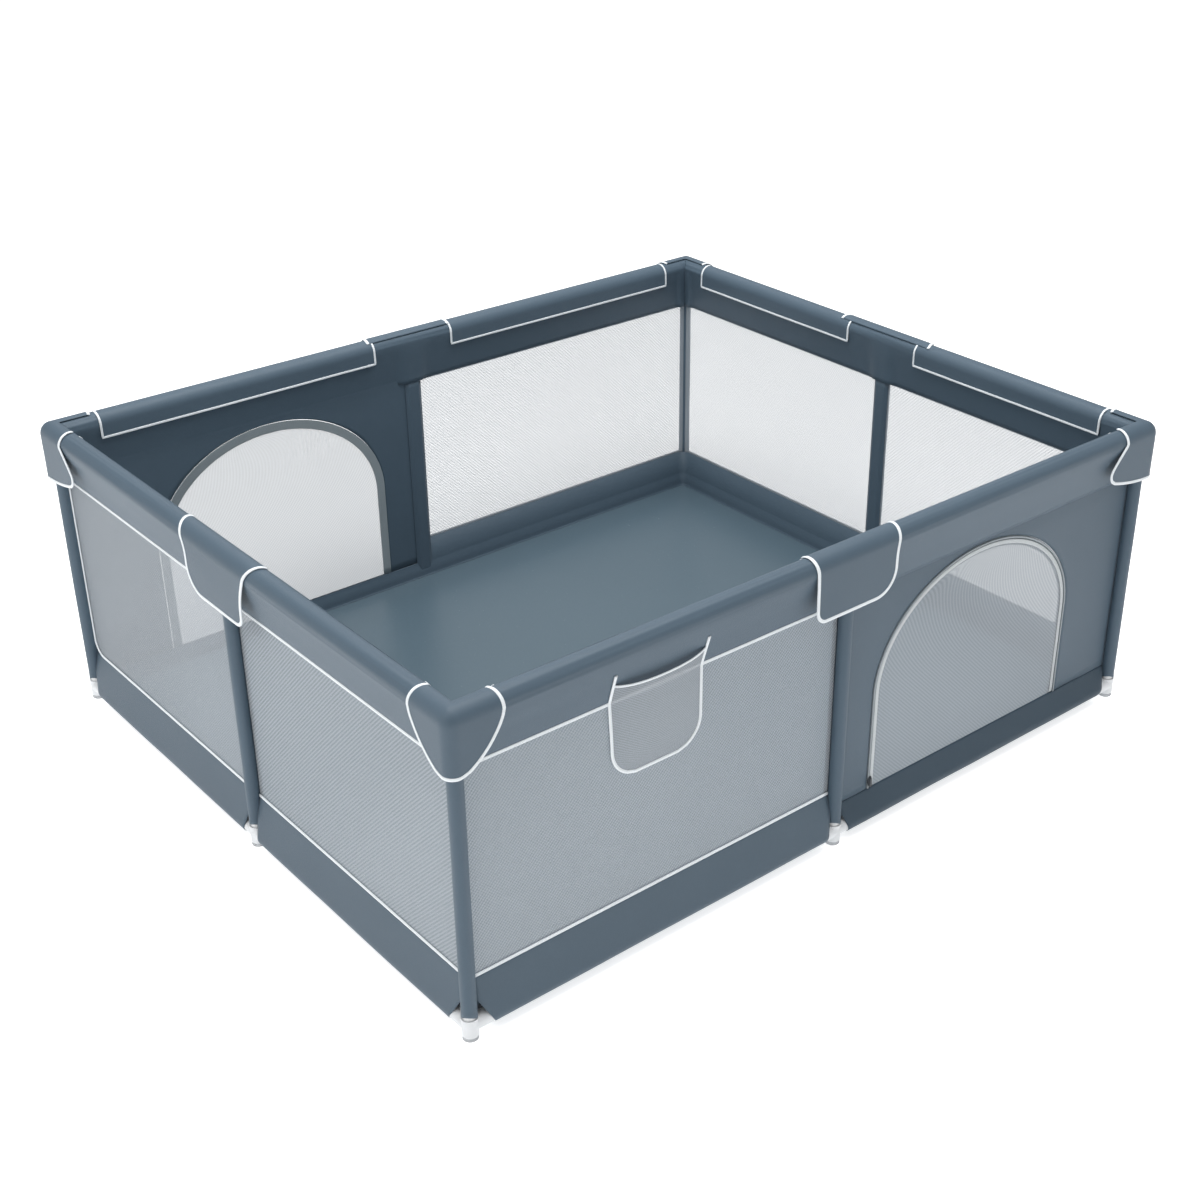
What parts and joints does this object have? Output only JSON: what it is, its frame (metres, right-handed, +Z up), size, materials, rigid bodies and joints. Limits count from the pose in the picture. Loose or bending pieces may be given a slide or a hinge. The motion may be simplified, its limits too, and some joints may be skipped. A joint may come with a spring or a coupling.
{
  "type": "playpen",
  "caption": "Large rectangular play yard: steel tube frame in a sewn fabric cover with mesh windows, padded top rail, arched zip doors, a mesh pocket and suction cup feet.",
  "frame": {"origin": "on the ground under the middle of the pen, the bottom centre of its box", "axes": "+Z up; +X along the long walls; -Y is the front, the wall with the pocket"},
  "size_m": [1.855, 1.555, 0.685],
  "materials": {
    "tube_steel": "powder coated light grey, hidden in the cover",
    "white_plastic": "satin moulded",
    "clear_rubber": "translucent smooth",
    "foam": "closed cell foam",
    "slate_cloth": "fine coated weave with a soft sheen",
    "floor_cloth": "smooth coated cloth, faint gloss",
    "grey_mesh": "fine open knit",
    "white_binding": "folded tape",
    "zip_tape": "ribbed zip tape and coil",
    "slider_metal": "dark satin"
  },
  "bodies": {
    "pen": {"post_front_left": "tube_steel", "post_front_right": "tube_steel", "post_back_right": "tube_steel", "post_back_left": "tube_steel", "post_front_middle": "tube_steel", "top_rail_front": "tube_steel", "post_right_middle": "tube_steel", "top_rail_right": "tube_steel", "post_back_middle": "tube_steel", "top_rail_back": "tube_steel", "post_left_middle": "tube_steel", "top_rail_left": "tube_steel", "bottom_rails": "tube_steel", "top_elbows": "white_plastic", "top_tees": "white_plastic", "corner_feet": "white_plastic", "middle_feet": "white_plastic", "suction_cups": "clear_rubber", "rail_foam": "foam", "rail_cover_front": "slate_cloth", "skirt_front": "slate_cloth", "mesh_front": "grey_mesh", "rail_cover_right": "slate_cloth", "skirt_right": "slate_cloth", "mesh_right": "grey_mesh", "rail_cover_back": "slate_cloth", "skirt_back": "slate_cloth", "mesh_back": "grey_mesh", "rail_cover_left": "slate_cloth", "skirt_left": "slate_cloth", "mesh_left": "grey_mesh", "post_sleeves": "slate_cloth", "floor_base": "floor_cloth", "panel_front": "slate_cloth", "zip_front": "zip_tape", "panel_back": "slate_cloth", "zip_back": "zip_tape", "pocket": "grey_mesh"},
    "door_front": {"door_front": "grey_mesh"},
    "zip_slider_front": {"zip_slider_front": "slider_metal"},
    "zip_pull_front": {"zip_pull_front": "slider_metal"},
    "door_back": {"door_back": "grey_mesh"},
    "zip_slider_back": {"zip_slider_back": "slider_metal"},
    "zip_pull_back": {"zip_pull_back": "slider_metal"},
    "middle_flap_front": {"middle_flap_front": "slate_cloth"},
    "inner_flap_front_left": {"inner_flap_front_left": "slate_cloth"},
    "inner_flap_front_right": {"inner_flap_front_right": "slate_cloth"},
    "middle_flap_right": {"middle_flap_right": "slate_cloth"},
    "inner_flap_right_front": {"inner_flap_right_front": "slate_cloth"},
    "inner_flap_right_back": {"inner_flap_right_back": "slate_cloth"},
    "middle_flap_back": {"middle_flap_back": "slate_cloth"},
    "inner_flap_back_right": {"inner_flap_back_right": "slate_cloth"},
    "inner_flap_back_left": {"inner_flap_back_left": "slate_cloth"},
    "middle_flap_left": {"middle_flap_left": "slate_cloth"},
    "inner_flap_left_back": {"inner_flap_left_back": "slate_cloth"},
    "inner_flap_left_front": {"inner_flap_left_front": "slate_cloth"},
    "corner_hood_front_left": {"corner_hood_front_left": "slate_cloth"},
    "corner_hood_front_right": {"corner_hood_front_right": "slate_cloth"},
    "corner_hood_back_right": {"corner_hood_back_right": "slate_cloth"},
    "corner_hood_back_left": {"corner_hood_back_left": "slate_cloth"}
  },
  "joints": [
    {"name": "door_front_fold", "type": "hinge", "parent": "pen", "child": "door_front", "pos_m": [0.405, -0.742, 0.0805], "axis": [1, 0, 0], "range_deg": [0, 99]},
    {"name": "zip_front_slide", "type": "slide", "parent": "pen", "child": "zip_slider_front", "axis": [0, 0, 1], "range_m": [0, 0.184]},
    {"name": "zip_pull_front_swing", "type": "hinge", "parent": "zip_slider_front", "child": "zip_pull_front", "pos_m": [0.1075, -0.7489, 0.1075], "axis": [-1, 0, 0], "range_deg": [0, 150]},
    {"name": "door_back_fold", "type": "hinge", "parent": "pen", "child": "door_back", "pos_m": [-0.405, 0.742, 0.0605], "axis": [-1, 0, 0], "range_deg": [0, 96]},
    {"name": "zip_back_slide", "type": "slide", "parent": "pen", "child": "zip_slider_back", "axis": [0, 0, 1], "range_m": [0, 0.204]},
    {"name": "zip_pull_back_swing", "type": "hinge", "parent": "zip_slider_back", "child": "zip_pull_back", "pos_m": [-0.1075, 0.7489, 0.0875], "axis": [1, 0, 0], "range_deg": [0, 150]},
    {"name": "middle_flap_front_lift", "type": "hinge", "parent": "pen", "child": "middle_flap_front", "pos_m": [0, -0.776, 0.6605], "axis": [-1, 0, 0], "range_deg": [0, 110]},
    {"name": "inner_flap_front_left_lift", "type": "hinge", "parent": "pen", "child": "inner_flap_front_left", "pos_m": [-0.4575, -0.724, 0.6605], "axis": [1, 0, 0], "range_deg": [0, 110]},
    {"name": "inner_flap_front_right_lift", "type": "hinge", "parent": "pen", "child": "inner_flap_front_right", "pos_m": [0.4575, -0.724, 0.6605], "axis": [1, 0, 0], "range_deg": [0, 110]},
    {"name": "middle_flap_right_lift", "type": "hinge", "parent": "pen", "child": "middle_flap_right", "pos_m": [0.926, 0, 0.6605], "axis": [0, -1, 0], "range_deg": [0, 110]},
    {"name": "inner_flap_right_front_lift", "type": "hinge", "parent": "pen", "child": "inner_flap_right_front", "pos_m": [0.874, -0.3825, 0.6605], "axis": [0, 1, 0], "range_deg": [0, 110]},
    {"name": "inner_flap_right_back_lift", "type": "hinge", "parent": "pen", "child": "inner_flap_right_back", "pos_m": [0.874, 0.3825, 0.6605], "axis": [0, 1, 0], "range_deg": [0, 110]},
    {"name": "middle_flap_back_lift", "type": "hinge", "parent": "pen", "child": "middle_flap_back", "pos_m": [0, 0.776, 0.6605], "axis": [1, 0, 0], "range_deg": [0, 110]},
    {"name": "inner_flap_back_right_lift", "type": "hinge", "parent": "pen", "child": "inner_flap_back_right", "pos_m": [0.4575, 0.724, 0.6605], "axis": [-1, 0, 0], "range_deg": [0, 110]},
    {"name": "inner_flap_back_left_lift", "type": "hinge", "parent": "pen", "child": "inner_flap_back_left", "pos_m": [-0.4575, 0.724, 0.6605], "axis": [-1, 0, 0], "range_deg": [0, 110]},
    {"name": "middle_flap_left_lift", "type": "hinge", "parent": "pen", "child": "middle_flap_left", "pos_m": [-0.926, 0, 0.6605], "axis": [0, 1, 0], "range_deg": [0, 110]},
    {"name": "inner_flap_left_back_lift", "type": "hinge", "parent": "pen", "child": "inner_flap_left_back", "pos_m": [-0.874, 0.3825, 0.6605], "axis": [0, -1, 0], "range_deg": [0, 110]},
    {"name": "inner_flap_left_front_lift", "type": "hinge", "parent": "pen", "child": "inner_flap_left_front", "pos_m": [-0.874, -0.3825, 0.6605], "axis": [0, -1, 0], "range_deg": [0, 110]},
    {"name": "corner_hood_front_left_lift", "type": "hinge", "parent": "pen", "child": "corner_hood_front_left", "pos_m": [-0.847, -0.697, 0.687], "axis": [-0.7071, 0.7071, 0], "range_deg": [0, 90]},
    {"name": "corner_hood_front_right_lift", "type": "hinge", "parent": "pen", "child": "corner_hood_front_right", "pos_m": [0.847, -0.697, 0.687], "axis": [-0.7071, -0.7071, 0], "range_deg": [0, 90]},
    {"name": "corner_hood_back_right_lift", "type": "hinge", "parent": "pen", "child": "corner_hood_back_right", "pos_m": [0.847, 0.697, 0.687], "axis": [0.7071, -0.7071, 0], "range_deg": [0, 90]},
    {"name": "corner_hood_back_left_lift", "type": "hinge", "parent": "pen", "child": "corner_hood_back_left", "pos_m": [-0.847, 0.697, 0.687], "axis": [0.7071, 0.7071, 0], "range_deg": [0, 90]}
  ]
}
